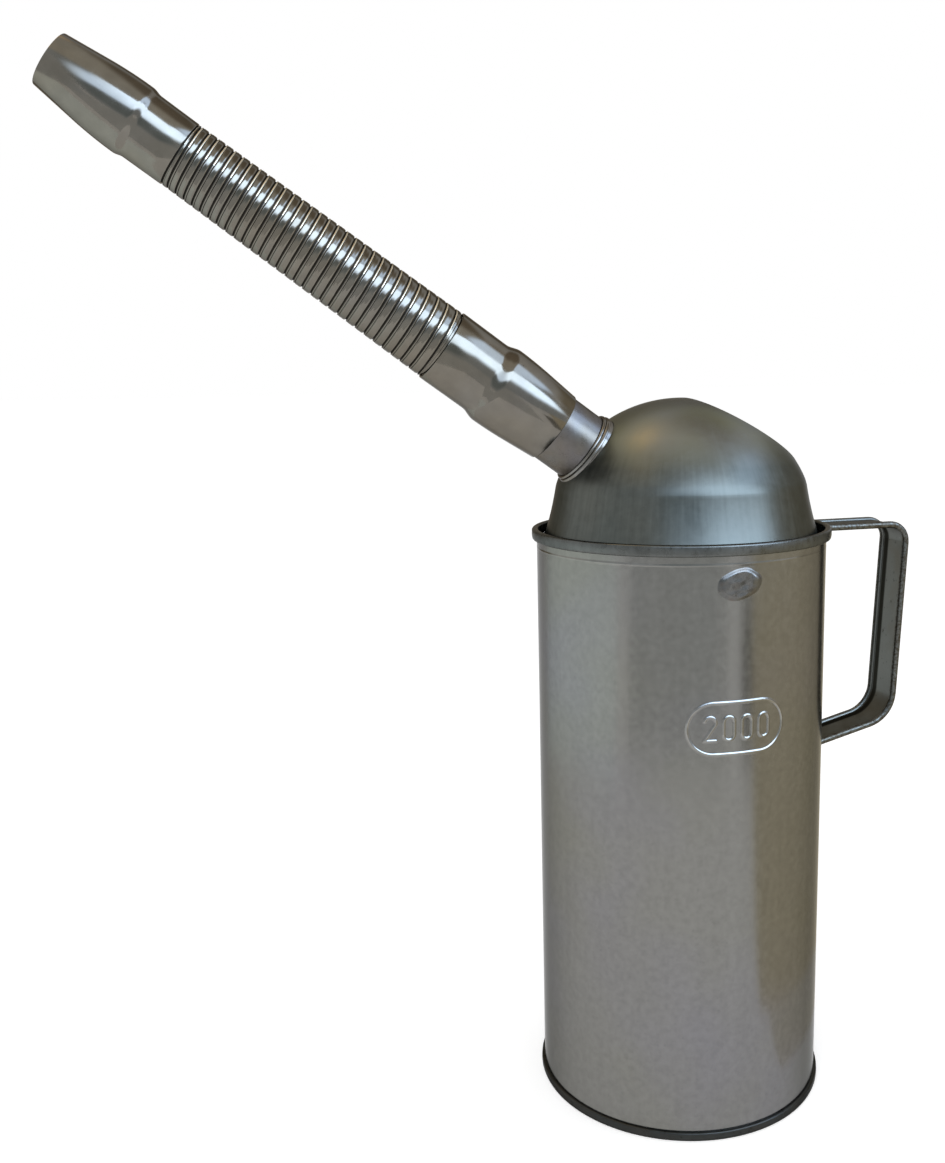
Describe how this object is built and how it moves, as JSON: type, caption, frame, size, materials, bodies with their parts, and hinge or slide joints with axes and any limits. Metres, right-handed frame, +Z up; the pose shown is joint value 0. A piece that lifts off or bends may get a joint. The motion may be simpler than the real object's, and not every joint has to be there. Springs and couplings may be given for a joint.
{
  "type": "oil measuring jug",
  "caption": "Tinplate oil measuring jug with a rolled rim, a pressed hood, a flexible metal pouring spout that pulls off and turns, and a strap handle.",
  "frame": {"origin": "centre of the base on the floor the jug stands on", "axes": "+Z up along the can's axis, +X towards the handle, -X towards the pouring spout, -Y towards the side with the capacity mark"},
  "size_m": [0.3106, 0.1128, 0.3843],
  "materials": {
    "tin": "satin tinplate",
    "dark_tin": "satin, worn",
    "hood_tin": "satin, dull",
    "plated": "polished nickel plate, worn",
    "solder": "shiny solder",
    "rubber": "matt"
  },
  "bodies": {
    "can": {"body_shell": "tin", "side_seam": "tin", "base_plate": "dark_tin", "base_seam": "dark_tin", "rim_bead": "dark_tin", "rim_wire": "dark_tin", "hood": "hood_tin", "hood_solder": "solder", "neck_stub": "tin", "neck_collar": "plated", "handle_strap": "dark_tin", "handle_solder_top": "solder", "handle_solder_low": "solder", "seal_drop": "solder"},
    "seal": {"spout_seal": "rubber"},
    "sleeve": {"spout_sleeve": "plated", "hose_root": "plated"},
    "link_01": {"hose_link_01": "plated"},
    "link_02": {"hose_link_02": "plated"},
    "link_03": {"hose_link_03": "plated"},
    "link_04": {"hose_link_04": "plated"},
    "link_05": {"hose_link_05": "plated"},
    "link_06": {"hose_link_06": "plated"},
    "link_07": {"hose_link_07": "plated"},
    "link_08": {"hose_link_08": "plated"},
    "link_09": {"hose_link_09": "plated"},
    "link_10": {"hose_link_10": "plated"},
    "link_11": {"hose_link_11": "plated"},
    "link_12": {"hose_link_12": "plated"},
    "link_13": {"hose_link_13": "plated"},
    "link_14": {"hose_link_14": "plated"},
    "link_15": {"hose_link_15": "plated"},
    "nozzle": {"spout_nozzle": "plated", "hose_end": "plated"}
  },
  "joints": [
    {"name": "spout_pull_off", "type": "slide", "parent": "can", "child": "seal", "axis": [-0.808, 0, 0.5892], "range_m": [0, 0.03]},
    {"name": "spout_swivel", "type": "hinge", "parent": "seal", "child": "sleeve", "pos_m": [-0.06464, 0, 0.26978], "axis": [-0.808, 0, 0.5892], "continuous": true},
    {"name": "hose_bend", "type": "hinge", "parent": "sleeve", "child": "link_01", "pos_m": [-0.09019, 0, 0.28841], "axis": [0, 1, 0], "range_deg": [-2.4, 2.4]},
    {"name": "hose_bend_02", "type": "hinge", "parent": "link_01", "child": "link_02", "pos_m": [-0.09655, 0, 0.29304], "axis": [0, 1, 0], "range_deg": [-2.4, 2.4]},
    {"name": "hose_bend_03", "type": "hinge", "parent": "link_02", "child": "link_03", "pos_m": [-0.10279, 0, 0.2976], "axis": [0, 1, 0], "range_deg": [-2.4, 2.4]},
    {"name": "hose_bend_04", "type": "hinge", "parent": "link_03", "child": "link_04", "pos_m": [-0.10892, 0, 0.30207], "axis": [0, 1, 0], "range_deg": [-2.4, 2.4]},
    {"name": "hose_bend_05", "type": "hinge", "parent": "link_04", "child": "link_05", "pos_m": [-0.11495, 0, 0.30646], "axis": [0, 1, 0], "range_deg": [-2.4, 2.4]},
    {"name": "hose_bend_06", "type": "hinge", "parent": "link_05", "child": "link_06", "pos_m": [-0.12085, 0, 0.31077], "axis": [0, 1, 0], "range_deg": [-2.4, 2.4]},
    {"name": "hose_bend_07", "type": "hinge", "parent": "link_06", "child": "link_07", "pos_m": [-0.12665, 0, 0.315], "axis": [0, 1, 0], "range_deg": [-2.4, 2.4]},
    {"name": "hose_bend_08", "type": "hinge", "parent": "link_07", "child": "link_08", "pos_m": [-0.13234, 0, 0.31914], "axis": [0, 1, 0], "range_deg": [-2.4, 2.4]},
    {"name": "hose_bend_09", "type": "hinge", "parent": "link_08", "child": "link_09", "pos_m": [-0.13791, 0, 0.32321], "axis": [0, 1, 0], "range_deg": [-2.4, 2.4]},
    {"name": "hose_bend_10", "type": "hinge", "parent": "link_09", "child": "link_10", "pos_m": [-0.14338, 0, 0.32719], "axis": [0, 1, 0], "range_deg": [-2.4, 2.4]},
    {"name": "hose_bend_11", "type": "hinge", "parent": "link_10", "child": "link_11", "pos_m": [-0.14873, 0, 0.33109], "axis": [0, 1, 0], "range_deg": [-2.4, 2.4]},
    {"name": "hose_bend_12", "type": "hinge", "parent": "link_11", "child": "link_12", "pos_m": [-0.15397, 0, 0.33492], "axis": [0, 1, 0], "range_deg": [-2.4, 2.4]},
    {"name": "hose_bend_13", "type": "hinge", "parent": "link_12", "child": "link_13", "pos_m": [-0.1591, 0, 0.33866], "axis": [0, 1, 0], "range_deg": [-2.4, 2.4]},
    {"name": "hose_bend_14", "type": "hinge", "parent": "link_13", "child": "link_14", "pos_m": [-0.16412, 0, 0.34232], "axis": [0, 1, 0], "range_deg": [-2.4, 2.4]},
    {"name": "hose_bend_15", "type": "hinge", "parent": "link_14", "child": "link_15", "pos_m": [-0.16902, 0, 0.34589], "axis": [0, 1, 0], "range_deg": [-2.4, 2.4]},
    {"name": "hose_bend_nozzle", "type": "hinge", "parent": "link_15", "child": "nozzle", "pos_m": [-0.17382, 0, 0.34939], "axis": [0, 1, 0], "range_deg": [-2.4, 2.4]}
  ],
  "couplings": [
    {"joint": "hose_bend_02", "follows": "hose_bend", "ratio": 1},
    {"joint": "hose_bend_03", "follows": "hose_bend", "ratio": 1},
    {"joint": "hose_bend_04", "follows": "hose_bend", "ratio": 1},
    {"joint": "hose_bend_05", "follows": "hose_bend", "ratio": 1},
    {"joint": "hose_bend_06", "follows": "hose_bend", "ratio": 1},
    {"joint": "hose_bend_07", "follows": "hose_bend", "ratio": 1},
    {"joint": "hose_bend_08", "follows": "hose_bend", "ratio": 1},
    {"joint": "hose_bend_09", "follows": "hose_bend", "ratio": 1},
    {"joint": "hose_bend_10", "follows": "hose_bend", "ratio": 1},
    {"joint": "hose_bend_11", "follows": "hose_bend", "ratio": 1},
    {"joint": "hose_bend_12", "follows": "hose_bend", "ratio": 1},
    {"joint": "hose_bend_13", "follows": "hose_bend", "ratio": 1},
    {"joint": "hose_bend_14", "follows": "hose_bend", "ratio": 1},
    {"joint": "hose_bend_15", "follows": "hose_bend", "ratio": 1},
    {"joint": "hose_bend_nozzle", "follows": "hose_bend", "ratio": 1}
  ]
}
